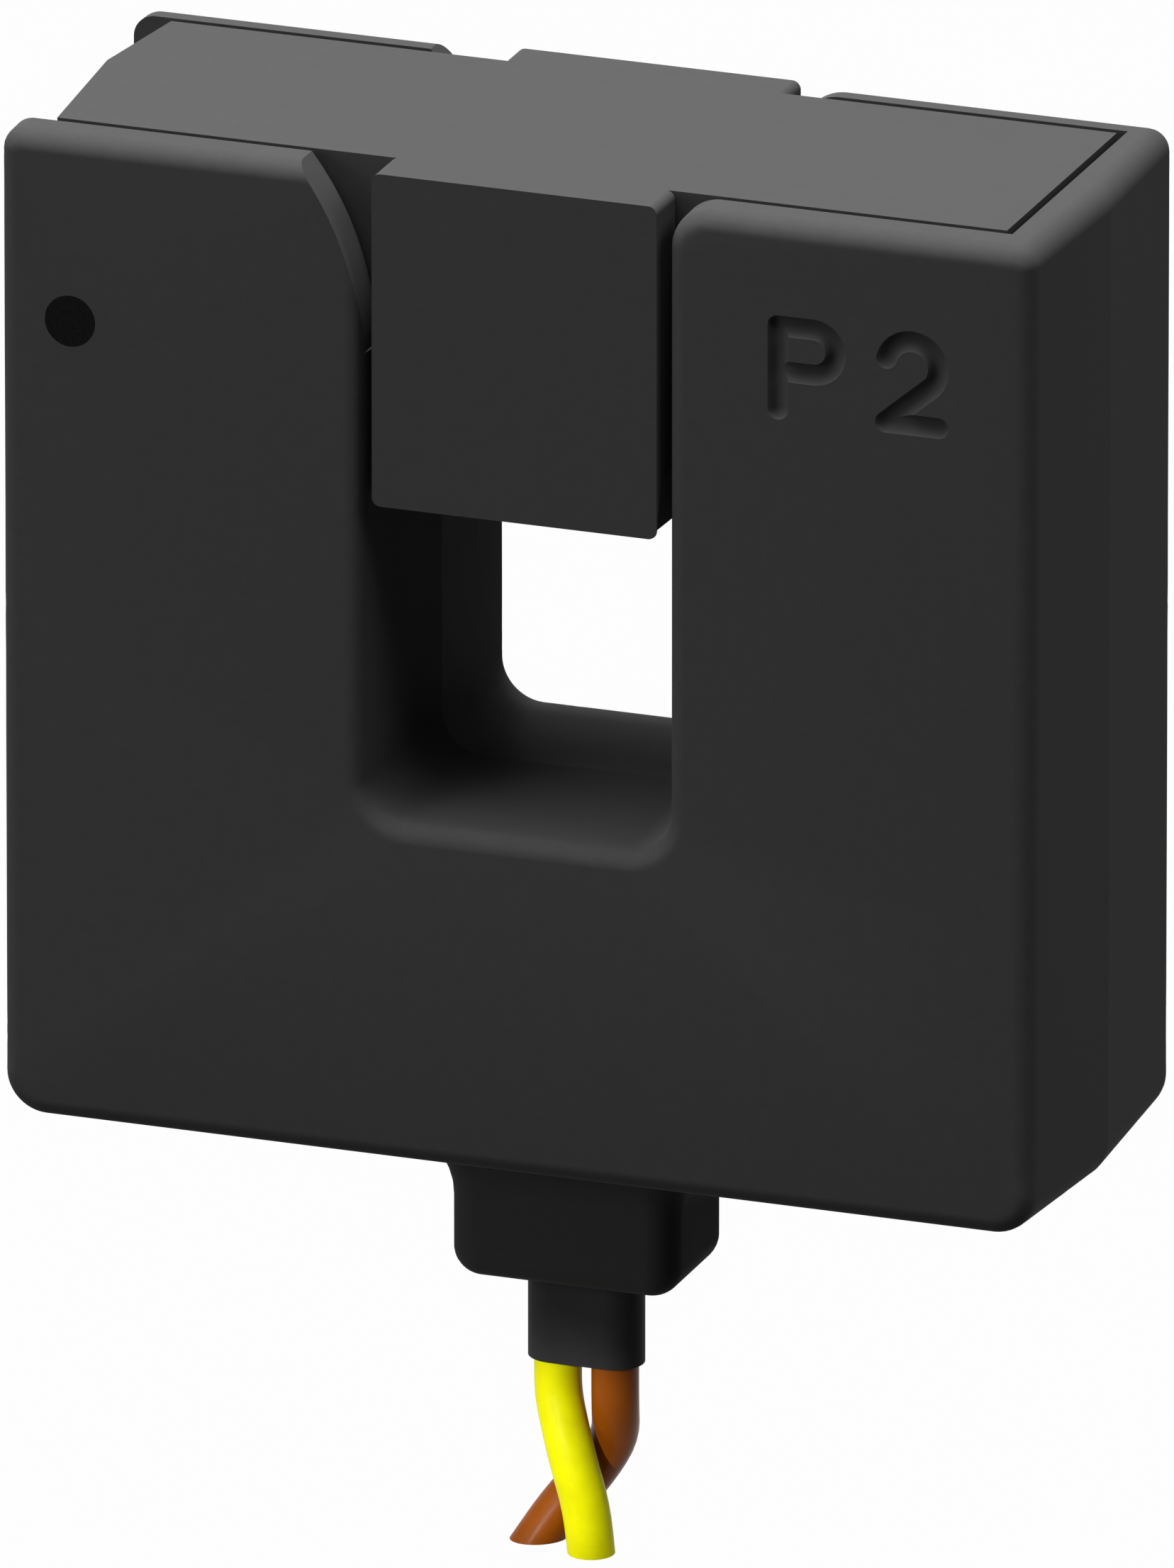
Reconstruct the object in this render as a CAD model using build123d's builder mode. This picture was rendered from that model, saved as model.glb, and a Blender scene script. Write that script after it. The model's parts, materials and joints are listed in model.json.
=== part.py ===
from build123d import *
import os
from math import radians, tan

os.makedirs("parts", exist_ok=True)

# Split-core current transformer with a hinged gate. Millimetres.
# The origin is the centre of the conductor window. X runs to the right seen from the
# front, the front face looks along -Y, and Z points up, from the cable to the gate.
# Plane.XZ faces the viewer, so a positive extrusion from it runs towards the front.

# Housing. The sides and the window walls lean by the draft, away from the parting plane.
window_width = 9.58  # clear opening at the parting plane, where it is narrowest
window_height = 9.50
arm_width = 12.45  # from the window to the outer side, at the parting plane
base_height = 11.54  # from the window floor to the underside
gate_height = 11.53  # from the top of the window to the top of the housing
depth = 12.94
draft_angle = 2.13
side_wall = 1.30
window_wall = 1.15
face_wall = 1.37
bottom_corner_r = 1.36
top_corner_r = 0.72
mouth_corner_r = 1.36
window_corner_r = 1.35
face_fillet_r = 0.63

# Channel between the two cheeks, where the tongue of the gate lies
front_cheek = 1.39
rear_cheek = 1.04
end_wall = 1.40  # to the right of the channel, at the parting plane
channel_plate = 1.20  # floor of the channel, with a hole for each pole
pole_stand = 0.40  # the poles stand out of the channel floor by this

# Gate
gate_gap = 0.27  # round the tongue
tongue_height = 8.48
block_gap = 0.10  # between the block and the window walls, at the parting plane
block_corner_r = 0.28
swing_gap = 0.37  # between the left side of the block and the arc in the cheeks
swing_clearance = 0.07  # between the lower right edge of the block and the right arm
relief_arc = 45  # the turn after which that edge is past the arm
relief_reach = 3.0  # how much of the arm's mouth shapes the relief
gate_split_y = 0.92  # parting plane of the gate, behind that of the housing
front_rake = 5.2  # draft of the gate's left end and underside, to the front
rear_rake = 7.0

# Hinge
pin_d = 1.67
pin_inset = 2.58  # from the left side of the housing, at the parting plane
pin_drop = 6.01  # below the top
pin_clearance = 0.05
end_beyond_pin = 1.55  # the tongue reaches this far past the pin

# Core: a U and an I of pressed ferrite, as wide in the legs and as high in the yoke as the
# housing leaves room for
core_depth = 5.20
yoke_from_window = 1.55
core_corner_r = 0.90
core_fit = 0.10

# Coils
bobbin_wall = 0.50
bobbin_flange = 0.60
bobbin_headroom = 0.30
winding_thickness = 1.10
tape_thickness = 0.12
tape_margin = 0.50
coil_corner_r = 0.80
coil_corner_share = 0.9  # of a thin wall that its outer corner takes up
coil_room_inside = 0.43  # between a bobbin and the window wall
coil_room_outside = 1.13  # and between it and the outer wall
coil_wire_d = 0.30
wire_slot_d = 0.50

# Circuit board with the burden resistor and the clamp diode
board_length = 19.60
board_depth = 8.80
board_thickness = 0.80
board_room = 2.00  # between the board and the yoke
under_board = 1.29
board_hole_d = 0.60
component_pitch = 6.40
component_y = 2.20
component_wire_d = 0.45
resistor_d = 1.60
resistor_length = 3.60
diode_d = 1.45
diode_length = 3.00
waist_share = 0.8  # of the distance between the end caps that a waist takes up
stub_below_board = 0.50

# Cable
boss_width = 7.52
boss_depth = 5.14
boss_height = 4.93
boss_fillet_r = 1.00
boss_rim_r = 0.95
boss_flare_r = 2.40
jacket_width = 3.78
jacket_thickness = 1.88
jacket_showing = 2.98  # below the boss
jacket_inside = 2.90  # above the underside of the boss
jacket_fit = 0.04
lead_d = 1.50
lead_pitch = 1.90
conductor_d = 0.76
strand_d = 0.29  # the strands press into each other
strand_count = 6  # round the middle one
lead_cut_z = -30.40  # both leads are cut off on one level
lead_strip = 1.30  # bare conductor below the board
collar_width = 5.10
collar_thickness = 3.20
collar_height = 1.60

# Ribs, ledges and dowels
rib_width = 1.00
cradle_x = 4.00
cradle_height = 2.76
cradle_drop = 1.38  # from the top of the yoke to the top of the cradle ribs
rest_from_end = 1.00  # each core rest stands this far inside the end of the core
ledge_from_end = 0.60
post_d = 2.00
post_inset = 2.75
dowel_d = 0.90
dowel_length = 1.20
dowel_fit = 0.05
spring_thickness = 0.25
spring_height = 1.50
spring_length = 18.0
spring_width = 4.0

# Places that follow from the sizes
half_depth = depth / 2
window_side = window_width / 2
window_top = window_height / 2
window_floor = -window_top
outer_side = window_side + arm_width
top_z = window_top + gate_height
bottom_z = window_floor - base_height
tongue_bottom = top_z - tongue_height
channel_floor = tongue_bottom - pole_stand
channel_front = half_depth - front_cheek
channel_rear = half_depth - rear_cheek
channel_end = outer_side - end_wall
cavity_top = channel_floor - channel_plate
cavity_depth = half_depth - face_wall
cavity_floor = bottom_z + side_wall
pin_x = -outer_side + pin_inset
pin_z = top_z - pin_drop
block_side = window_side - block_gap
coil_build = core_fit + bobbin_wall + winding_thickness + tape_thickness + core_fit
core_from_window = window_wall + coil_room_inside + coil_build
core_leg = arm_width - side_wall - coil_room_outside - coil_build - core_from_window
board_height = board_thickness + under_board
yoke_height = base_height - side_wall - yoke_from_window - board_room - board_height
leg_inner = window_side + core_from_window
leg_outer = leg_inner + core_leg
leg_x = (leg_inner + leg_outer) / 2
yoke_top = window_floor - yoke_from_window
yoke_bottom = yoke_top - yoke_height
board_top = yoke_bottom - board_room
board_bottom = board_top - board_thickness
boss_bottom = bottom_z - boss_height
jacket_top = boss_bottom + jacket_inside
jacket_bottom = boss_bottom - jacket_showing
lead_x = lead_pitch / 2
conductor_top = board_top
wire_y = core_depth / 2 + core_fit + bobbin_wall + winding_thickness / 2
board_wire_x = leg_inner
link_wire_x = leg_inner - 2 * wire_slot_d
over = 1.0  # cutting tools reach past what they cut

# Routes of the two leads from the jacket to past the level of the cut. The yellow one comes
# round in front of the brown one.
yellow_points = [(-lead_x, 0, jacket_bottom), (-lead_x, 0, -25.5), (-0.27, -0.74, -27.1)]
yellow_points += [(0.32, -0.86, -28.9), (0.44, -0.62, -31.0)]
brown_points = [(lead_x, 0, jacket_bottom), (lead_x, 0, -25.6), (0.74, 0.66, -26.9)]
brown_points += [(-0.05, 0.90, -28.2), (-1.08, 0.52, -29.5), (-1.95, -0.25, -31.0)]
bend_share = 0.45  # of the shorter run that an arc takes up


def write(piece, name):
    """Label a finished piece and write it as its own STEP file."""
    piece.part.label = name
    export_step(piece.part, f"parts/{name}.step")


def u_section(outer_inset, window_inset, top):
    """U round the window, open at the top, drawn at the parting plane."""
    side = outer_side - outer_inset
    inner = window_side + window_inset
    floor = window_floor - window_inset
    bottom = bottom_z + outer_inset
    with BuildSketch(Plane.XZ) as section:
        with BuildLine():
            outside = [(-side, top), (-side, bottom), (side, bottom), (side, top)]
            inside = [(inner, top), (inner, floor), (-inner, floor), (-inner, top)]
            Polyline(*outside, *inside, close=True)
        make_face()
    return section.sketch


def rectangle_between(low, high, mode=Mode.ADD):
    """Rectangle given by two opposite corners."""
    with Locations(((low[0] + high[0]) / 2, (low[1] + high[1]) / 2)):
        Rectangle(high[0] - low[0], high[1] - low[1], mode=mode)


def corner_edges(half, x_sign, low, high):
    """Edges that run from the parting plane to the face, on one side, between two heights."""
    runs = half.edges().filter_by(lambda e: abs((e @ 0).Y - (e @ 1).Y) > cavity_depth)
    return runs.filter_by(lambda e: x_sign * e.center().X > 0 and low < e.center().Z < high)


def round_corners(half):
    """Round the corners of the U, then the whole rim of its face."""
    outside = outer_side - (outer_side - window_side) / 2
    for sign in (-1, 1):
        low_corners = corner_edges(half, sign, bottom_z - over, window_floor - base_height / 2)
        fillet(low_corners, bottom_corner_r)
        fillet(corner_edges(half, sign, window_floor - over, window_floor + over), window_corner_r)
        high_corners = corner_edges(half, sign, top_z - over, top_z + over)
        fillet(high_corners.filter_by(lambda e: abs(e.center().X) > outside), top_corner_r)
        high_corners = corner_edges(half, sign, top_z - over / 10, top_z + over)
        fillet(high_corners.filter_by(lambda e: abs(e.center().X) < outside), mouth_corner_r)
    fillet(half.faces().sort_by(Axis.Y)[0].edges(), face_fillet_r)


def add_boss(half):
    """Half of the cable boss under the housing, flared into the underside."""
    with BuildSketch(Plane.XY.offset(boss_bottom)) as plan:
        Rectangle(boss_width, boss_depth / 2, align=(Align.CENTER, Align.MAX))
        fillet(plan.vertices().group_by(Axis.Y)[0], boss_fillet_r)
    extrude(plan.sketch, amount=boss_height + side_wall)
    lower_rim = half.faces().sort_by(Axis.Z)[0].edges()
    fillet(lower_rim.filter_by(lambda e: e.center().Y < -boss_fillet_r / 10), boss_rim_r)
    reach = boss_width / 2 + boss_fillet_r / 2
    at_root = half.edges().filter_by(lambda e: abs(e.center().Z - bottom_z) < half_depth / 10)
    at_root = at_root.filter_by(lambda e: abs(e.center().X) < reach)
    at_root = at_root.filter_by(lambda e: -boss_depth / 2 - over / 10 < e.center().Y < -over / 100)
    fillet(at_root, boss_flare_r)


def cut_cavity():
    """Hollow for the core, the coils and the board, open at the parting plane."""
    hollow = u_section(side_wall, window_wall, cavity_top)
    extrude(hollow, amount=cavity_depth, taper=draft_angle, mode=Mode.SUBTRACT)


def cut_channel(cheek):
    """Channel for the tongue, open at the left end, with a hole for each pole in its floor."""
    with BuildSketch(Plane.XZ) as channel:
        rectangle_between((-outer_side - over, channel_floor), (channel_end, top_z + over))
    extrude(channel.sketch, amount=half_depth - cheek, mode=Mode.SUBTRACT)
    with BuildSketch(Plane.XZ) as pole_holes:
        with Locations([(sign * leg_x, channel_floor - channel_plate / 2) for sign in (-1, 1)]):
            Rectangle(core_leg + 2 * core_fit, channel_plate + over)
    extrude(pole_holes.sketch, amount=core_depth / 2 + core_fit, mode=Mode.SUBTRACT)


def cut_swing_arc():
    """Arc about the pin at the left of the mouth, where the block swings past the cheeks."""
    swing_r = -pin_x - block_side - swing_gap
    with BuildSketch(Plane.XZ) as swept:
        rectangle_between((pin_x, pin_z), (0, top_z + over))
        with Locations((pin_x, pin_z)):
            Circle(swing_r, mode=Mode.SUBTRACT)
    extrude(swept.sketch, amount=half_depth + over, mode=Mode.SUBTRACT)


def add_ribs():
    """Rests under the core, ledges under the board and cradle ribs before the yoke."""
    root = cavity_depth + side_wall / 4
    with BuildSketch(Plane.XZ) as uprights:
        for sign in (-1, 1):
            rest_x = sign * (leg_outer - rest_from_end)
            ledge_x = sign * (board_length / 2 - ledge_from_end)
            for x, height in ((rest_x, yoke_bottom), (ledge_x, board_bottom)):
                foot = cavity_floor - side_wall / 4
                rectangle_between((x - rib_width / 2, foot), (x + rib_width / 2, height))
    extrude(uprights.sketch, amount=root)
    with BuildSketch(Plane.XZ.offset(core_depth / 2 + core_fit)) as cradles:
        cradle_z = yoke_top - cradle_drop - cradle_height / 2
        with Locations([(sign * cradle_x, cradle_z) for sign in (-1, 1)]):
            Rectangle(rib_width, cradle_height)
    extrude(cradles.sketch, amount=root - core_depth / 2 - core_fit)


def add_posts(with_dowels):
    """Posts in the lower corners. The front half has the dowels and the rear their holes."""
    places = [(sign * (outer_side - post_inset), bottom_z + post_inset) for sign in (-1, 1)]
    with BuildSketch(Plane.XZ) as posts:
        with Locations(places):
            Circle(post_d / 2)
    extrude(posts.sketch, amount=cavity_depth + side_wall / 4)
    with BuildSketch(Plane.XZ) as dowels:
        with Locations(places):
            Circle(dowel_d / 2 if with_dowels else dowel_d / 2 + dowel_fit)
    if with_dowels:
        extrude(dowels.sketch, amount=-dowel_length)
    else:
        extrude(dowels.sketch, amount=dowel_length + dowel_fit, mode=Mode.SUBTRACT)


def cut_cable_way():
    """Way for the cable through the boss, with a pocket for the strain relief collar."""
    fit = 2 * jacket_fit
    with BuildSketch(Plane.XY.offset(boss_bottom - over)) as way:
        SlotOverall(jacket_width + fit, jacket_thickness + fit)
    extrude(way.sketch, amount=cavity_floor - boss_bottom + 2 * over, mode=Mode.SUBTRACT)
    with BuildSketch(Plane.XY.offset(jacket_top - collar_height - jacket_fit)) as pocket:
        RectangleRounded(collar_width + fit, collar_thickness + fit, coil_corner_r)
    extrude(pocket.sketch, amount=collar_height + fit, mode=Mode.SUBTRACT)


def housing_half(cheek, with_dowels):
    """One half of the housing, built towards the front from the parting plane."""
    with BuildPart() as half:
        extrude(u_section(0, 0, top_z + over), amount=half_depth, taper=draft_angle)
        split(bisect_by=Plane.XY.offset(top_z), keep=Keep.BOTTOM)
        round_corners(half)
        add_boss(half)
        cut_cavity()
        cut_channel(cheek)
        cut_swing_arc()
        add_ribs()
        add_posts(with_dowels)
        cut_cable_way()
        with BuildSketch(Plane.XZ):
            with Locations((pin_x, pin_z)):
                Circle(pin_d / 2)
        extrude(amount=half_depth + over, mode=Mode.SUBTRACT)
    return half


def build_housing():
    """Two moulded halves that meet at the parting plane."""
    front_shell = housing_half(front_cheek, with_dowels=True)
    write(front_shell, "front_shell")
    with BuildPart() as rear_shell:
        add(mirror(housing_half(rear_cheek, with_dowels=False).part, about=Plane.XZ))
    write(rear_shell, "rear_shell")


def cut_swing_relief():
    """Relief on the block's lower right edge: the mouth of the right arm, grown by the
    clearance and swung about the pin."""
    wall_x = window_side - pin_x
    lean = half_depth * tan(radians(draft_angle))
    with BuildSketch(Plane((pin_x, 0, pin_z), x_dir=(1, 0, 0), z_dir=(0, 0, 1))) as mouth:
        with BuildLine():
            Polyline(
                [(wall_x, 0), (wall_x + lean, -half_depth), (wall_x + relief_reach, -half_depth)],
                [(wall_x + relief_reach, half_depth), (wall_x + lean, half_depth)],
                close=True,
            )
        make_face()
        rim = mouth.vertices().filter_by(lambda v: abs(v.X - wall_x - lean) < lean / 10)
        fillet(rim, face_fillet_r)
        offset(amount=swing_clearance, kind=Kind.ARC)
    hinge = Axis((pin_x, 0, pin_z), (0, 1, 0))
    revolve(mouth.sketch, axis=hinge, revolution_arc=relief_arc, mode=Mode.SUBTRACT)


def gate_half(towards, tongue_reach, rake, with_dowels):
    """One half of the gate, from its parting plane towards the front (-1) or rear (1)."""
    slope = tan(radians(rake))
    block_reach = half_depth - towards * gate_split_y
    tip_x = pin_x - end_beyond_pin
    tongue_end = channel_end - gate_gap
    tongue_y = gate_split_y + towards * tongue_reach
    block_y = gate_split_y + towards * block_reach
    roof = tongue_bottom + core_leg + spring_height
    with BuildPart() as half:
        with BuildSketch(Plane.YZ.offset(-block_side)):
            with BuildLine():
                Polyline(
                    [(gate_split_y, top_z), (block_y, top_z)],
                    [(block_y, window_top + block_reach * slope), (gate_split_y, window_top)],
                    close=True,
                )
            make_face()
        extrude(amount=2 * block_side)
        runs = half.edges().filter_by(lambda e: abs((e @ 0).Y - (e @ 1).Y) > block_reach / 2)
        fillet(runs, block_corner_r)
        cut_swing_relief()
        with BuildSketch(Plane.XY.offset(tongue_bottom)):
            with BuildLine():
                Polyline(
                    [(tip_x, gate_split_y), (tongue_end, gate_split_y), (tongue_end, tongue_y)],
                    [(tip_x + tongue_reach * slope, tongue_y)],
                    close=True,
                )
            make_face()
        extrude(amount=tongue_height)
        # Pocket for the I core, open below at the two poles and closed by the block between
        with BuildSketch(Plane.XZ):
            rectangle_between((-leg_outer - core_fit, tongue_bottom), (leg_outer + core_fit, roof))
        extrude(amount=core_depth / 2 + core_fit, both=True, mode=Mode.SUBTRACT)
        # Round heel under the pin, so that the end clears the channel floor as it turns
        with BuildSketch(Plane.XZ):
            rectangle_between((tip_x - over, tongue_bottom - over), (pin_x, pin_z))
            with Locations((pin_x, pin_z)):
                Circle(pin_z - tongue_bottom, mode=Mode.SUBTRACT)
        extrude(amount=depth, both=True, mode=Mode.SUBTRACT)
        with BuildSketch(Plane.XZ):
            with Locations((pin_x, pin_z)):
                Circle(pin_d / 2 + pin_clearance)
        extrude(amount=depth, both=True, mode=Mode.SUBTRACT)
        seats = [(-leg_outer, (roof + top_z) / 2), (leg_outer, (roof + top_z) / 2)]
        seats.append((0, (window_top + tongue_bottom) / 2))
        with BuildSketch(Plane.XZ.offset(-gate_split_y)):
            with Locations(seats):
                Circle(dowel_d / 2 if with_dowels else dowel_d / 2 + dowel_fit)
        if with_dowels:
            extrude(amount=-dowel_length)
        else:
            extrude(amount=-dowel_length - dowel_fit, mode=Mode.SUBTRACT)
    return half


def build_gate():
    """Gate with its front and rear halves, the I core and the spring that presses it down."""
    front_reach = gate_split_y + channel_front - gate_gap
    rear_reach = channel_rear - gate_gap - gate_split_y
    write(gate_half(-1, front_reach, front_rake, with_dowels=True), "gate_shell")
    write(gate_half(1, rear_reach, rear_rake, with_dowels=False), "gate_cover")
    core_top = tongue_bottom + core_leg
    with BuildPart() as i_core:
        with BuildSketch(Plane.XZ):
            rectangle_between((-leg_outer, tongue_bottom), (leg_outer, core_top))
        extrude(amount=core_depth / 2, both=True)
    write(i_core, "i_core")
    half_length = spring_length / 2
    rise = spring_height - spring_thickness
    with BuildPart() as core_spring:
        with BuildSketch(Plane.XZ):
            with BuildLine():
                low = ThreePointArc((-half_length, core_top), (0, core_top + rise), (half_length, core_top))
                high = ThreePointArc(
                    (-half_length, core_top + spring_thickness),
                    (0, core_top + spring_height),
                    (half_length, core_top + spring_thickness),
                )
                Line(low @ 0, high @ 0)
                Line(low @ 1, high @ 1)
            make_face()
        extrude(amount=spring_width / 2, both=True)
    write(core_spring, "core_spring")


def build_hinge_pin():
    """Dark pin through both cheeks, flush with the faces."""
    with BuildPart() as hinge_pin:
        with BuildSketch(Plane.XZ):
            with Locations((pin_x, pin_z)):
                Circle(pin_d / 2)
        extrude(amount=half_depth, both=True)
    write(hinge_pin, "hinge_pin")


def build_u_core():
    """U core, its poles up through the channel floor."""
    with BuildPart() as u_core:
        with BuildSketch(Plane.XZ) as section:
            rectangle_between((-leg_outer, yoke_bottom), (leg_outer, tongue_bottom))
            fillet(section.vertices().group_by(Axis.Y)[0], core_corner_r)
            rectangle_between((-leg_inner, yoke_top), (leg_inner, tongue_bottom + over), Mode.SUBTRACT)
        extrude(amount=core_depth / 2, both=True)
    write(u_core, "u_core")


def ring_sketch(x, z, half_x, half_depth_y, thickness):
    """Rounded rectangular ring round a core leg, drawn on a level plane."""
    with BuildSketch(Plane.XY.offset(z)) as ring:
        with Locations((x, 0)):
            outer_x = 2 * (half_x + thickness)
            outer_y = 2 * (half_depth_y + thickness)
            RectangleRounded(outer_x, outer_y, min(thickness, coil_corner_r) * coil_corner_share)
            Rectangle(2 * half_x, 2 * half_depth_y, mode=Mode.SUBTRACT)
    return ring.sketch


def build_coil(sign, side):
    """Bobbin on one leg of the core, with its winding and the tape round it."""
    x = sign * leg_x
    bore_x = core_leg / 2 + core_fit
    bore_y = core_depth / 2 + core_fit
    tube_x = bore_x + bobbin_wall
    tube_y = bore_y + bobbin_wall
    flange_reach = coil_build - core_fit
    bobbin_top = cavity_top - bobbin_headroom
    winding_low = yoke_top + bobbin_flange
    winding_height = bobbin_top - bobbin_flange - winding_low
    with BuildPart() as bobbin:
        for z in (yoke_top, bobbin_top - bobbin_flange):
            extrude(ring_sketch(x, z, bore_x, bore_y, flange_reach), amount=bobbin_flange)
        tube = ring_sketch(x, yoke_top, bore_x, bore_y, bobbin_wall)
        extrude(tube, amount=bobbin_top - yoke_top)
        with BuildSketch(Plane.XY.offset(yoke_top - over)):
            with Locations([(sign * wire_x, -wire_y) for wire_x in (board_wire_x, link_wire_x)]):
                Circle(wire_slot_d / 2)
        extrude(amount=over + bobbin_flange, mode=Mode.SUBTRACT)
    write(bobbin, f"bobbin_{side}")
    with BuildPart() as winding:
        turns = ring_sketch(x, winding_low, tube_x, tube_y, winding_thickness)
        extrude(turns, amount=winding_height)
    write(winding, f"winding_{side}")
    with BuildPart() as coil_tape:
        with BuildSketch(Plane.XY.offset(winding_low + tape_margin)):
            with Locations((x, 0)):
                outside_x = 2 * (tube_x + winding_thickness)
                outside_y = 2 * (tube_y + winding_thickness)
                corner_r = min(winding_thickness, coil_corner_r) * coil_corner_share
                wrap = 2 * tape_thickness
                RectangleRounded(outside_x + wrap, outside_y + wrap, corner_r + tape_thickness)
                RectangleRounded(outside_x, outside_y, corner_r, mode=Mode.SUBTRACT)
        extrude(amount=winding_height - 2 * tape_margin)
    write(coil_tape, f"coil_tape_{side}")


def build_coil_wires():
    """Link between the two windings and their ends, down to the board."""
    winding_low = yoke_top + bobbin_flange
    link_z = yoke_top - coil_wire_d
    with BuildPart() as coil_link:
        with BuildLine() as route:
            corners = [(-link_wire_x, winding_low), (-link_wire_x, link_z), (link_wire_x, link_z)]
            corners.append((link_wire_x, winding_low))
            FilletPolyline([(x, -wire_y, z) for x, z in corners], radius=coil_wire_d)
        with BuildSketch(Plane((-link_wire_x, -wire_y, winding_low), z_dir=(0, 0, -1))):
            Circle(coil_wire_d / 2)
        sweep(path=route.wires()[0])
    write(coil_link, "coil_link")
    for sign, end in ((-1, "start"), (1, "finish")):
        with BuildPart() as coil_end:
            with BuildSketch(Plane.XY.offset(board_bottom - stub_below_board)):
                with Locations((sign * board_wire_x, -wire_y)):
                    Circle(coil_wire_d / 2)
            extrude(amount=winding_low - board_bottom + stub_below_board)
        write(coil_end, f"coil_{end}")


def build_board():
    """Circuit board on its ledges, drilled for everything that is soldered to it."""
    component_x = component_pitch / 2
    with BuildPart() as circuit_board:
        with BuildSketch(Plane.XY.offset(board_bottom)):
            RectangleRounded(board_length, board_depth, board_hole_d)
            with Locations([(s * component_x, t * component_y) for s in (-1, 1) for t in (-1, 1)]):
                Circle(board_hole_d / 2, mode=Mode.SUBTRACT)
            with Locations([(sign * board_wire_x, -wire_y) for sign in (-1, 1)]):
                Circle(board_hole_d / 2, mode=Mode.SUBTRACT)
            with Locations([(sign * lead_x, 0) for sign in (-1, 1)]):
                Circle(conductor_d / 2 + board_hole_d / 10, mode=Mode.SUBTRACT)
        extrude(amount=board_thickness)
    write(circuit_board, "circuit_board")


def build_component(name, y, body_d, body_length, waist):
    """Axial component on the board, its two wires bent down through their holes."""
    half_pitch = component_pitch / 2
    axis_z = board_top + body_d / 2
    low_z = board_bottom - stub_below_board
    bend_r = component_wire_d
    with BuildPart() as component:
        with BuildSketch(Plane.XZ.offset(-y)):
            with BuildLine():
                half = body_length / 2
                neck = half / 2 * waist_share
                r = body_d / 2
                Polyline(
                    [(-half, axis_z), (-half, axis_z + r), (-half / 2, axis_z + r)],
                    [(-neck, axis_z + r * waist), (neck, axis_z + r * waist)],
                    [(half / 2, axis_z + r), (half, axis_z + r), (half, axis_z)],
                    close=True,
                )
            make_face()
        revolve(axis=Axis((0, y, axis_z), (1, 0, 0)))
        with BuildLine() as route:
            ends = [(-half_pitch, low_z), (-half_pitch, axis_z), (half_pitch, axis_z), (half_pitch, low_z)]
            FilletPolyline([(x, y, z) for x, z in ends], radius=bend_r)
        with BuildSketch(Plane((-half_pitch, y, low_z), z_dir=(0, 0, 1))):
            Circle(component_wire_d / 2)
        sweep(path=route.wires()[0])
    write(component, name)


def build_cable():
    """Flat jacket of the two-core cable, and the collar that keeps it in the boss."""
    with BuildPart() as cable_jacket:
        with BuildSketch(Plane.XY.offset(jacket_bottom)):
            SlotOverall(jacket_width, jacket_thickness)
            with Locations((-lead_x, 0), (lead_x, 0)):
                Circle(lead_d / 2, mode=Mode.SUBTRACT)
        extrude(amount=jacket_top - jacket_bottom)
    write(cable_jacket, "cable_jacket")
    with BuildPart() as strain_relief:
        with BuildSketch(Plane.XY.offset(jacket_top - collar_height)):
            RectangleRounded(collar_width, collar_thickness, coil_corner_r)
            SlotOverall(jacket_width, jacket_thickness, mode=Mode.SUBTRACT)
        extrude(amount=collar_height)
    write(strain_relief, "strain_relief")


def lead_route(points, top):
    """Straight runs joined by arcs as large as the runs allow, from inside the housing down."""
    radii = []
    for before, corner, after in zip(points, points[1:], points[2:]):
        arriving = Vector(*corner) - Vector(*before)
        leaving = Vector(*after) - Vector(*corner)
        half_turn = radians(arriving.get_angle(leaving)) / 2
        radii.append(bend_share * min(arriving.length, leaving.length) / tan(half_turn))
    exit_x, exit_y, _ = points[0]
    with BuildLine() as route:
        FilletPolyline([(exit_x, exit_y, top), *points[1:]], radius=radii)
    return route.wires()[0]


def build_lead(name, points):
    """Insulated lead and its strands, cut off level at the lower end."""
    exit_x, exit_y, _ = points[0]
    top = board_bottom - lead_strip
    for kind, high in (("lead", top), ("conductor", conductor_top)):
        with BuildPart() as piece:
            with BuildSketch(Plane((exit_x, exit_y, high), z_dir=(0, 0, -1))):
                if kind == "lead":
                    Circle(lead_d / 2)
                    Circle(conductor_d / 2, mode=Mode.SUBTRACT)
                else:
                    Circle(strand_d / 2)
                    with PolarLocations((conductor_d - strand_d) / 2, strand_count):
                        Circle(strand_d / 2)
            sweep(path=lead_route(points, high))
            split(bisect_by=Plane.XY.offset(lead_cut_z), keep=Keep.TOP)
        write(piece, f"{name}_{kind}")


build_housing()
build_gate()
build_hinge_pin()
build_u_core()
build_coil(-1, "left")
build_coil(1, "right")
build_coil_wires()
build_board()
build_component("burden_resistor", component_y, resistor_d, resistor_length, waist=0.8)
build_component("clamp_diode", -component_y, diode_d, diode_length, waist=1.0)
build_cable()
build_lead("yellow", yellow_points)
build_lead("brown", brown_points)
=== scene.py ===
import json
import math

import bpy
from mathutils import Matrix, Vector


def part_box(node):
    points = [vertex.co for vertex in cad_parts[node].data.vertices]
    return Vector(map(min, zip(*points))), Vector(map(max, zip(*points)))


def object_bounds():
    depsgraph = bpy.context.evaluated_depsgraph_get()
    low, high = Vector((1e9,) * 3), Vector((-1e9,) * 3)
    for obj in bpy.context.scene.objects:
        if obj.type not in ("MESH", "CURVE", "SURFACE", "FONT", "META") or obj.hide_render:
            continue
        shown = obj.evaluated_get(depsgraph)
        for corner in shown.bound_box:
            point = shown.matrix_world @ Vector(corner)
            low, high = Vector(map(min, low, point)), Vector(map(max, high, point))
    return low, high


# Looks of the split-core current transformer. Metres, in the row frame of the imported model.

MM = 0.001

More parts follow.
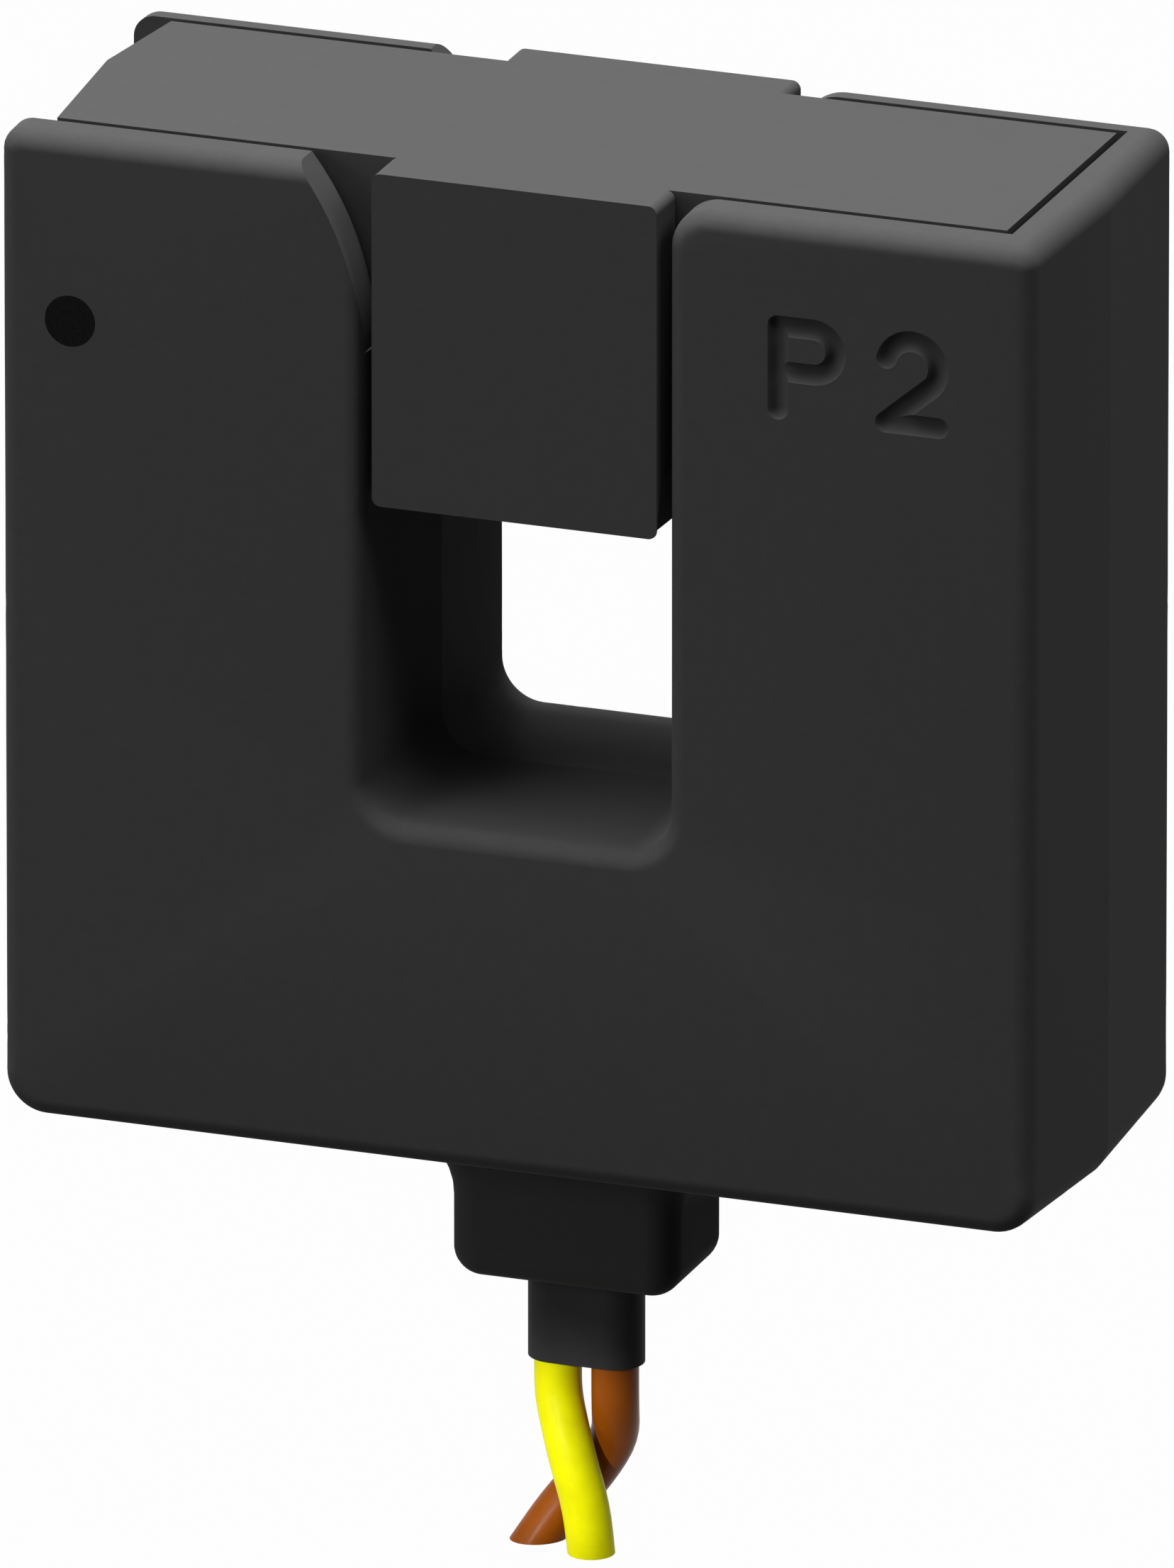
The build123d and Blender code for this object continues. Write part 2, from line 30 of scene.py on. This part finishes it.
# Camera, from the photograph's own projection
PHOTO_WIDTH, PHOTO_HEIGHT = 1656, 2212
METRES_PER_PIXEL = 0.022 * MM
VIEW_AZIMUTH, VIEW_ELEVATION = 20.30, 19.42
WINDOW_CENTRE_PX = (827.5, 880.2)
LENS_MM, SENSOR_MM = 1250, 36
CLIP_NEAR, CLIP_FAR = 0.05, 10  # shares of the camera's distance

# Stage
FLOOR_DROP = 0.16
FLOOR_SIZE = 12.0
FLOOR_GREY = 0.05
FLOOR_WHITE_SHARE = 0.985
WORLD_LIGHT = 0.03

# Soft square lamps aimed at the part: place, width and power
LAMPS = {
    "overhead": ((-0.15, -0.05, 0.50), 0.6, 6.9),
    "zenith": ((-0.02, 0.04, 0.90), 0.2, 13.4),
    "left_fill": ((-0.6, -0.7, 0.2), 0.4, 3.3),
    "right_fill": ((0.7, -0.1, 0.6), 0.4, 3.5),
    "rear_fill": ((-0.5, 0.8, 0.2), 0.4, 1.2),
}

# Lamp on the leads
SPOT_FROM = (-0.15, -0.90, 0.40)
SPOT_DISTANCE = 0.25
SPOT_HALF_HEIGHT = 3.0 * MM
SPOT_CONE_MARGIN = 1.25
SPOT_EDGE = 0.35
SPOT_SOFTNESS = 1.0 * MM
SPOT_POWER = 1.6

# Phase in radians that the wave texture gains over one unit at scale 1
WAVE_RADIANS = 20

# Colours of the moulded parts and the cable, linear
BLACK = (0.037, 0.037, 0.0372)
PIN_BLACK = (0.0040, 0.0040, 0.0043)
JACKET_BLACK = (0.0295, 0.0295, 0.0295)
YELLOW = (0.86, 0.84, 0.002)
BROWN = (0.27, 0.064, 0.002)

# Colours of the inner parts, linear
FERRITE_GREY = (0.055, 0.055, 0.060)
SPRING_STEEL = (0.55, 0.54, 0.52)
NATURAL_NYLON = (0.55, 0.50, 0.40)
ENAMEL_COPPER = (0.48, 0.16, 0.05)
TAPE_AMBER = (0.62, 0.44, 0.05)
BOARD_GREEN = (0.020, 0.105, 0.045)
RESISTOR_BLUE = (0.42, 0.52, 0.55)
DIODE_BLACK = (0.03, 0.03, 0.033)
COLLAR_BLACK = (0.035, 0.035, 0.037)
COPPER = (0.78, 0.40, 0.24)

# Spacing of marks that repeat
PIN_RING_PITCH = 0.1 * math.pi * MM
WIRE_PITCH = 0.18 * MM
WEAVE_PITCH = 0.30 * MM

# Edges of the engraved shell that turn by more than this stay sharp
SHARP_ANGLE = math.radians(28)

# Mark cut into the right arm's face
MARK_STROKE = 0.68 * MM
MARK_DEPTH = 0.27 * MM
MARK_BALL_R = (MARK_STROKE ** 2 / 4 + MARK_DEPTH ** 2) / (2 * MARK_DEPTH)
MARK_LOW, MARK_HIGH = 9.84 * MM, 13.24 * MM
LETTER_LEFT, LETTER_RIGHT = 8.67 * MM, 10.57 * MM
LETTER_BOWL_FOOT = 0.46  # share of the letter's height
BOWL_STEPS = 16
DIGIT_LEFT, DIGIT_RIGHT = 12.20 * MM, 13.93 * MM
HOOK_START, HOOK_END = 165, -38
HOOK_STEPS = 18
CUTTER_SIDES = 24
CUTTER_CAP_RINGS = 6


def new_material(name):
    """Material with nodes, its node tree and its Principled shader."""
    material = bpy.data.materials.new(name)
    material.use_nodes = True
    tree = material.node_tree
    return material, tree, tree.nodes["Principled BSDF"]


def add_node(tree, kind, **sockets):
    """Node of that kind, its input sockets set by name."""
    node = tree.nodes.new(kind)
    for name, value in sockets.items():
        node.inputs[name.replace("_", " ")].default_value = value
    return node


def vector_maths(tree, operation, source, value):
    """Vector socket with an operation applied by a constant vector."""
    node = tree.nodes.new("ShaderNodeVectorMath")
    node.operation = operation
    node.inputs[1].default_value = value
    tree.links.new(source, node.inputs[0])
    return node.outputs[0]


def object_coordinates(tree, stretch=(1, 1, 1)):
    """Row-frame coordinates that stay with the piece, stretched along each axis."""
    source = tree.nodes.new("ShaderNodeTexCoord")
    return vector_maths(tree, "MULTIPLY", source.outputs["Object"], stretch)


def noise(tree, size, detail=2.0, roughness=0.5, stretch=(1, 1, 1)):
    """Noise whose features are about that size in metres."""
    node = add_node(tree, "ShaderNodeTexNoise", Scale=1 / size, Detail=detail, Roughness=roughness)
    tree.links.new(object_coordinates(tree, stretch), node.inputs["Vector"])
    return node.outputs["Fac"]


def wave(tree, coordinates, pitch, **sockets):
    """Wave texture whose bands or rings repeat at that pitch in metres."""
    scale = 2 * math.pi / WAVE_RADIANS / pitch
    node = add_node(tree, "ShaderNodeTexWave", Scale=scale, **sockets)
    tree.links.new(coordinates, node.inputs["Vector"])
    return node


def set_colour(tree, shader, factor, colour, low, high, at=(0.3, 0.7)):
    """Base colour that a factor varies between two multiples of a colour."""
    node = tree.nodes.new("ShaderNodeValToRGB")
    for element, place, share in zip(node.color_ramp.elements, at, (low, high)):
        element.position = place
        element.color = (*[channel * share for channel in colour], 1)
    tree.links.new(factor, node.inputs["Fac"])
    tree.links.new(node.outputs["Color"], shader.inputs["Base Color"])


def set_roughness(tree, shader, factor, low, high):
    """Roughness that a factor varies between two numbers."""
    node = add_node(tree, "ShaderNodeMapRange", To_Min=low, To_Max=high)
    tree.links.new(factor, node.inputs["Value"])
    tree.links.new(node.outputs["Result"], shader.inputs["Roughness"])


def bump(tree, shader, layers):
    """Stack of bumps, each a height and a depth in metres, onto the shader's normal."""
    normal = None
    for height, depth in layers:
        node = add_node(tree, "ShaderNodeBump", Strength=1.0, Distance=depth)
        tree.links.new(height, node.inputs["Height"])
        if normal:
            tree.links.new(normal, node.inputs["Normal"])
        normal = node.outputs["Normal"]
    tree.links.new(normal, shader.inputs["Normal"])


def moulded_plastic(name, colour, roughness, specular, grain=0.09 * MM):
    """Moulded plastic with a fine spark-eroded grain and faint flow marks."""
    cloud_size, flow_size = 0.5 * MM, 5 * MM
    flow_depth, grain_depth = 0.004 * MM, 0.0012 * MM
    material, tree, shader = new_material(name)
    cloud = noise(tree, cloud_size, detail=4, roughness=0.65)
    set_colour(tree, shader, cloud, colour, 0.955, 1.045)
    patches = noise(tree, cloud_size)
    set_roughness(tree, shader, patches, roughness - 0.05, roughness + 0.05)
    shader.inputs["Specular IOR Level"].default_value = specular
    grains = noise(tree, grain, detail=3)
    bump(tree, shader, [(noise(tree, flow_size), flow_depth), (grains, grain_depth)])
    return material


def insulation(name, colour, roughness, specular):
    """Extruded PVC round a lead: faint lines along its length and a soft gloss."""
    cloud_size, line_size, grain = 0.8 * MM, 0.22 * MM, 0.06 * MM
    line_depth, grain_depth = 0.003 * MM, 0.0008 * MM
    material, tree, shader = new_material(name)
    cloud = noise(tree, cloud_size, detail=3)
    set_colour(tree, shader, cloud, colour, 0.94, 1.04)
    lines = noise(tree, line_size, detail=2, stretch=(1, 1, 0.12))
    set_roughness(tree, shader, lines, roughness - 0.06, roughness + 0.06)
    shader.inputs["Specular IOR Level"].default_value = specular
    bump(tree, shader, [(lines, line_depth), (noise(tree, grain), grain_depth)])
    return material


def metal(name, colour, roughness, stretch):
    """Drawn or rolled metal, its marks stretched along the way it was worked."""
    mark_size, mark_depth = 0.12 * MM, 0.002 * MM
    material, tree, shader = new_material(name)
    marks = noise(tree, mark_size, detail=4, stretch=stretch)
    set_colour(tree, shader, marks, colour, 0.8, 1.1)
    set_roughness(tree, shader, marks, roughness - 0.08, roughness + 0.1)
    shader.inputs["Metallic"].default_value = 1.0
    bump(tree, shader, [(marks, mark_depth)])
    return material


def turned_rings(name, colour, roughness, axis_point, pitch):
    """Metal faced on a lathe: fine rings about an axis along Y."""
    speckle_size, ring_depth = 0.10 * MM, 0.0015 * MM
    material, tree, shader = new_material(name)
    source = tree.nodes.new("ShaderNodeTexCoord").outputs["Object"]
    centred = vector_maths(tree, "SUBTRACT", source, (axis_point.x, 0, axis_point.z))
    flat = vector_maths(tree, "MULTIPLY", centred, (1, 0, 1))
    rings = wave(tree, flat, pitch, Distortion=0.6, Detail=2.0)
    rings.wave_type = "RINGS"
    rings.rings_direction = "SPHERICAL"
    speckle = noise(tree, speckle_size, detail=4)
    set_colour(tree, shader, speckle, colour, 0.8, 1.2)
    set_roughness(tree, shader, speckle, roughness - 0.06, roughness + 0.06)
    shader.inputs["Metallic"].default_value = 1.0
    bump(tree, shader, [(rings.outputs["Fac"], ring_depth)])
    return material


def ferrite(name, colour):
    """Sintered ferrite: matt grey-black with tiny pits and bright specks."""
    grain, patch_size, pit_depth = 0.12 * MM, 0.4 * MM, 0.006 * MM
    material, tree, shader = new_material(name)
    grains = add_node(tree, "ShaderNodeTexVoronoi", Scale=1 / grain)
    tree.links.new(object_coordinates(tree), grains.inputs["Vector"])
    set_colour(tree, shader, grains.outputs["Distance"], colour, 0.75, 1.25)
    set_roughness(tree, shader, noise(tree, patch_size), 0.45, 0.68)
    bump(tree, shader, [(grains.outputs["Distance"], pit_depth)])
    return material


def banded(name, axis, pitch, colour, roughness, metallic=0.0, depth=0.02 * MM, distortion=0.0):
    """Turns or threads that lie side by side, stacked along an axis. Their colour falls to 0.45 of
    itself between bands: painted shade in the grooves between a winding's turns, and the weave's
    own pattern in a board.
    """
    patch_size = 0.3 * MM
    material, tree, shader = new_material(name)
    turns = wave(tree, object_coordinates(tree), pitch, Distortion=distortion)
    turns.bands_direction = axis
    # Darker between bands: painted shade between winding turns, the laminate's own weave pattern
    # on the board
    set_colour(tree, shader, turns.outputs["Fac"], colour, 0.45, 1.0, at=(0.0, 0.5))
    patches = noise(tree, patch_size)
    set_roughness(tree, shader, patches, roughness - 0.05, roughness + 0.08)
    shader.inputs["Metallic"].default_value = metallic
    bump(tree, shader, [(turns.outputs["Fac"], depth)])
    return material


def make_materials():
    """One material for each slot of the record."""
    pin_low, pin_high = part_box("hinge_pin")
    pin_axis = (pin_low + pin_high) / 2
    return {
        "housing": moulded_plastic("housing_plastic", BLACK, 0.75, 0.02),
        "gate": moulded_plastic("gate_plastic", BLACK, 0.75, 0.02),
        "pin": turned_rings("pin_steel", PIN_BLACK, 0.6, pin_axis, PIN_RING_PITCH),
        "ferrite": ferrite("core_ferrite", FERRITE_GREY),
        "spring": metal("spring_steel", SPRING_STEEL, 0.32, stretch=(0.05, 1, 1)),
        "bobbin": moulded_plastic("bobbin_nylon", NATURAL_NYLON, 0.5, 0.4),
        # The winding's grooves between turns are darkened by painted shade
        "winding": banded("winding_wire", "Z", WIRE_PITCH, ENAMEL_COPPER, 0.3, metallic=0.6),
        "tape": moulded_plastic("coil_tape_film", TAPE_AMBER, 0.25, 0.5, grain=0.3 * MM),
        "board": banded("board_laminate", "X", WEAVE_PITCH, BOARD_GREEN, 0.4,
                        depth=0.003 * MM, distortion=1.0),
        "resistor": moulded_plastic("resistor_lacquer", RESISTOR_BLUE, 0.3, 0.5),
        "diode": moulded_plastic("diode_epoxy", DIODE_BLACK, 0.35, 0.5),
        "collar": moulded_plastic("collar_rubber", COLLAR_BLACK, 0.6, 0.3),
        "jacket": insulation("jacket_pvc", JACKET_BLACK, 0.6, 0.04),
        "yellow": insulation("yellow_pvc", YELLOW, 0.40, 0.06),
        "brown": insulation("brown_pvc", BROWN, 0.35, 0.10),
        "copper": metal("strand_copper", COPPER, 0.3, stretch=(1, 1, 0.1)),
    }


def dress_nodes(frame, materials):
    """Gives each CAD node the material of its slot."""
    for entry in frame["record"]["subparts"]:
        node = frame["nodes"][entry["node"]]
        node.data.materials.clear()
        node.data.materials.append(materials[entry["material_slot"]])


def arc(centre, radius, start, end, steps):
    """Points on an arc in the XZ plane, by angles in degrees from +X towards +Z."""
    points = []
    for i in range(steps + 1):
        angle = math.radians(start + (end - start) * i / steps)
        x = centre[0] + radius * math.cos(angle)
        z = centre[1] + radius * math.sin(angle)
        points.append((x, z))
    return points


def letter_strokes():
    """Centre lines of the letter P: a stem, and a bowl on its upper half."""
    low, high = MARK_LOW + MARK_STROKE / 2, MARK_HIGH - MARK_STROKE / 2
    middle = low + (high - low) * LETTER_BOWL_FOOT
    bowl_r = (high - middle) / 2
    bowl_centre = (LETTER_RIGHT - bowl_r, middle + bowl_r)
    bowl = [(LETTER_LEFT, high), *arc(bowl_centre, bowl_r, 90, -90, BOWL_STEPS)]
    bowl.append((LETTER_LEFT, middle))
    return [[(LETTER_LEFT, low), (LETTER_LEFT, high)], bowl]


def digit_strokes():
    """Centre lines of the digit 2: a hook with its slope, and a foot."""
    low, high = MARK_LOW + MARK_STROKE / 2, MARK_HIGH - MARK_STROKE / 2
    hook_r = (DIGIT_RIGHT - DIGIT_LEFT) / 2
    hook_centre = (DIGIT_LEFT + hook_r, high - hook_r)
    hook = arc(hook_centre, hook_r, HOOK_START, HOOK_END, HOOK_STEPS)
    return [[*hook, (DIGIT_LEFT, low)], [(DIGIT_LEFT, low), (DIGIT_RIGHT, low)]]


def cutter_rings(centres, tangents):
    """Rings of a round-ended tube: each a centre, a direction and a radius."""
    cap = [math.pi / 2 * (i + 1) / (CUTTER_CAP_RINGS + 1) for i in range(CUTTER_CAP_RINGS)]
    rings = []
    for angle in reversed(cap):
        back = tangents[0] * MARK_BALL_R * math.sin(angle)
        rings.append((centres[0] - back, tangents[0], MARK_BALL_R * math.cos(angle)))
    rings += [(centre, tangent, MARK_BALL_R) for centre, tangent in zip(centres, tangents)]
    for angle in cap:
        ahead = tangents[-1] * MARK_BALL_R * math.sin(angle)
        rings.append((centres[-1] + ahead, tangents[-1], MARK_BALL_R * math.cos(angle)))
    return rings


def sweep_round(stroke, face_y, vertices, faces):
    """Adds a round-ended tube along a stroke, as a ball-nosed cutter would sweep it."""
    centres = [Vector((x, face_y - MARK_BALL_R + MARK_DEPTH, z)) for x, z in stroke]
    tangents = []
    for i in range(len(centres)):
        before, after = centres[max(i - 1, 0)], centres[min(i + 1, len(centres) - 1)]
        tangents.append((after - before).normalized())
    rings = cutter_rings(centres, tangents)
    outward = Vector((0, -1, 0))
    first = len(vertices)
    for centre, tangent, ring_r in rings:
        side = tangent.cross(outward)
        for k in range(CUTTER_SIDES):
            angle = 2 * math.pi * k / CUTTER_SIDES
            spoke = side * math.cos(angle) + outward * math.sin(angle)
            vertices.append(centre + spoke * ring_r)
    for i in range(len(rings) - 1):
        start = first + i * CUTTER_SIDES
        for k in range(CUTTER_SIDES):
            low, next_low = start + k, start + (k + 1) % CUTTER_SIDES
            faces.append((low, low + CUTTER_SIDES, next_low + CUTTER_SIDES, next_low))
    start_pole, end_pole = len(vertices), len(vertices) + 1
    vertices.append(centres[0] - tangents[0] * MARK_BALL_R)
    vertices.append(centres[-1] + tangents[-1] * MARK_BALL_R)
    last = first + (len(rings) - 1) * CUTTER_SIDES
    for k in range(CUTTER_SIDES):
        next_k = (k + 1) % CUTTER_SIDES
        faces.append((start_pole, first + k, first + next_k))
        faces.append((end_pole, last + next_k, last + k))


def smooth_by_angle():
    """Node group that shades a mesh smooth, apart from its sharp edges."""
    group = bpy.data.node_groups.new("smooth_by_angle", "GeometryNodeTree")
    for direction in ("INPUT", "OUTPUT"):
        group.interface.new_socket("Geometry", in_out=direction, socket_type="NodeSocketGeometry")
    start = group.nodes.new("NodeGroupInput")
    end = group.nodes.new("NodeGroupOutput")
    angle = group.nodes.new("GeometryNodeInputMeshEdgeAngle")
    sharp = group.nodes.new("FunctionNodeCompare")
    sharp.operation = "GREATER_THAN"
    sharp.inputs[1].default_value = SHARP_ANGLE
    normal = group.nodes.new("GeometryNodeSetMeshNormal")
    normal.mode = "SHARPNESS"
    normal.inputs["Remove Custom"].default_value = True
    group.links.new(angle.outputs["Unsigned Angle"], sharp.inputs[0])
    group.links.new(start.outputs[0], normal.inputs["Mesh"])
    group.links.new(sharp.outputs[0], normal.inputs["Edge Sharpness"])
    group.links.new(normal.outputs[0], end.inputs[0])
    return group


def cut_mark(shell):
    """Engraves the mark into the front face with a hidden cutter."""
    face_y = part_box("front_shell")[0].y
    vertices, faces = [], []
    for stroke in letter_strokes() + digit_strokes():
        sweep_round(stroke, face_y, vertices, faces)
    mesh = bpy.data.meshes.new("mark_cutter")
    mesh.from_pydata(vertices, [], faces)
    cutter = bpy.data.objects.new("mark_cutter", mesh)
    bpy.context.scene.collection.objects.link(cutter)
    cutter.hide_render = True
    cutter.hide_viewport = True
    cut = shell.modifiers.new("mark", "BOOLEAN")
    cut.operation = "DIFFERENCE"
    cut.solver = "EXACT"
    cut.use_self = True
    cut.object = cutter
    smooth = shell.modifiers.new("smooth", "NODES")
    smooth.node_group = smooth_by_angle()


def seen_directly(tree):
    """1 where the camera, a reflection or a clear material looks, and 0 for light."""
    rays = tree.nodes.new("ShaderNodeLightPath")
    seen = rays.outputs["Is Camera Ray"]
    for kind in ("Is Glossy Ray", "Is Transmission Ray"):
        larger = tree.nodes.new("ShaderNodeMath")
        larger.operation = "MAXIMUM"
        tree.links.new(seen, larger.inputs[0])
        tree.links.new(rays.outputs[kind], larger.inputs[1])
        seen = larger.outputs[0]
    return seen


def mix_shaders(tree, share, first, second, out_kind):
    """Sends two shaders, mixed by a share of the second, to the tree's output."""
    mix = tree.nodes.new("ShaderNodeMixShader")
    out = tree.nodes.new(out_kind)
    tree.links.new(share, mix.inputs[0])
    tree.links.new(first.outputs[0], mix.inputs[1])
    tree.links.new(second.outputs[0], mix.inputs[2])
    tree.links.new(mix.outputs[0], out.inputs["Surface"])


def build_stage():
    """Pale floor well below the part, wide enough to fill every view."""
    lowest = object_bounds()[0].z
    mesh = bpy.data.meshes.new("floor")
    half = FLOOR_SIZE / 2
    z = lowest - FLOOR_DROP
    corners = [(-half, -half, z), (half, -half, z), (half, half, z), (-half, half, z)]
    mesh.from_pydata(corners, [], [(0, 1, 2, 3)])
    floor = bpy.data.objects.new("floor", mesh)
    bpy.context.scene.collection.objects.link(floor)
    material = bpy.data.materials.new("floor")
    material.use_nodes = True
    tree = material.node_tree
    tree.nodes.clear()
    paint = add_node(tree, "ShaderNodeBsdfDiffuse", Color=(FLOOR_GREY, FLOOR_GREY, FLOOR_GREY, 1))
    glow = add_node(tree, "ShaderNodeEmission", Color=(1, 1, 1, 1), Strength=1.0)
    share = tree.nodes.new("ShaderNodeMath")
    share.operation = "MULTIPLY"
    share.inputs[1].default_value = FLOOR_WHITE_SHARE
    tree.links.new(seen_directly(tree), share.inputs[0])
    mix_shaders(tree, share.outputs[0], paint, glow, "ShaderNodeOutputMaterial")
    mesh.materials.append(material)


def build_world():
    """Even studio light, white where the camera or a reflection sees it."""
    world = bpy.data.worlds.new("studio")
    bpy.context.scene.world = world
    world.use_nodes = True
    tree = world.node_tree
    tree.nodes.clear()
    dim = add_node(tree, "ShaderNodeBackground", Color=(1, 1, 1, 1), Strength=WORLD_LIGHT)
    white = add_node(tree, "ShaderNodeBackground", Color=(1, 1, 1, 1), Strength=1.0)
    mix_shaders(tree, seen_directly(tree), dim, white, "ShaderNodeOutputWorld")


def place_looking(thing, place, direction):
    """Puts a lamp or the camera in the scene, looking along a direction."""
    thing.location = place
    thing.rotation_mode = "QUATERNION"
    thing.rotation_quaternion = direction.to_track_quat("-Z", "Y")
    bpy.context.scene.collection.objects.link(thing)


def add_lamp(name, place, size, power):
    """Soft square lamp aimed at the part."""
    data = bpy.data.lights.new(name, "AREA")
    data.shape = "SQUARE"
    data.size = size
    data.energy = power
    place_looking(bpy.data.objects.new(name, data), place, -Vector(place))


def add_spot(name, lit_box):
    """Small snooted lamp from the front on the two leads, which stand in the housing's shade."""
    target = (lit_box[0] + lit_box[1]) / 2
    target.z = lit_box[0].z + SPOT_HALF_HEIGHT
    direction = Vector(SPOT_FROM).normalized()
    data = bpy.data.lights.new(name, "SPOT")
    data.energy = SPOT_POWER
    data.spot_size = 2 * math.atan(SPOT_HALF_HEIGHT * SPOT_CONE_MARGIN / SPOT_DISTANCE)
    data.spot_blend = SPOT_EDGE
    data.shadow_soft_size = SPOT_SOFTNESS
    lamp = bpy.data.objects.new(name, data)
    place_looking(lamp, target + direction * SPOT_DISTANCE, -direction)


def build_camera():
    """Long lens at the photograph's angle, its frame the photograph's."""
    azimuth, elevation = math.radians(VIEW_AZIMUTH), math.radians(VIEW_ELEVATION)
    right = Vector((math.cos(azimuth), math.sin(azimuth), 0))
    back = Vector((math.sin(azimuth), -math.cos(azimuth), 0)) * math.cos(elevation)
    back.z = math.sin(elevation)
    up = back.cross(right)
    aside = (PHOTO_WIDTH / 2 - WINDOW_CENTRE_PX[0]) * METRES_PER_PIXEL
    below = (PHOTO_HEIGHT / 2 - WINDOW_CENTRE_PX[1]) * METRES_PER_PIXEL
    target = right * aside - up * below
    distance = PHOTO_HEIGHT * METRES_PER_PIXEL * LENS_MM / SENSOR_MM
    data = bpy.data.cameras.new("camera")
    data.lens = LENS_MM
    data.sensor_width = SENSOR_MM
    data.clip_start, data.clip_end = distance * CLIP_NEAR, distance * CLIP_FAR
    camera = bpy.data.objects.new("camera", data)
    place_looking(camera, target + back * distance, -back)
    bpy.context.scene.camera = camera


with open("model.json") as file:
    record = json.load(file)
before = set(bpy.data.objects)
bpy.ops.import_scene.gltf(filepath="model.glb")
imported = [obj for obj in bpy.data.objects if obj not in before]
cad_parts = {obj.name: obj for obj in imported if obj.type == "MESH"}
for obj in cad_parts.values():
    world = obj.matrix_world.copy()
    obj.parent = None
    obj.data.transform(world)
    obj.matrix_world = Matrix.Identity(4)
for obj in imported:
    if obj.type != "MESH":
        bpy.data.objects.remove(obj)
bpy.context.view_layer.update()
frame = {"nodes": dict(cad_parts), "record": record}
dress_nodes(frame, make_materials())
cut_mark(frame["nodes"]["front_shell"])
build_stage()
build_world()
for lamp_name, (lamp_place, lamp_size, lamp_power) in LAMPS.items():
    add_lamp(lamp_name, lamp_place, lamp_size, lamp_power)
add_spot("lead_spot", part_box("yellow_lead"))
build_camera()
bpy.context.scene.view_settings.view_transform = "Standard"
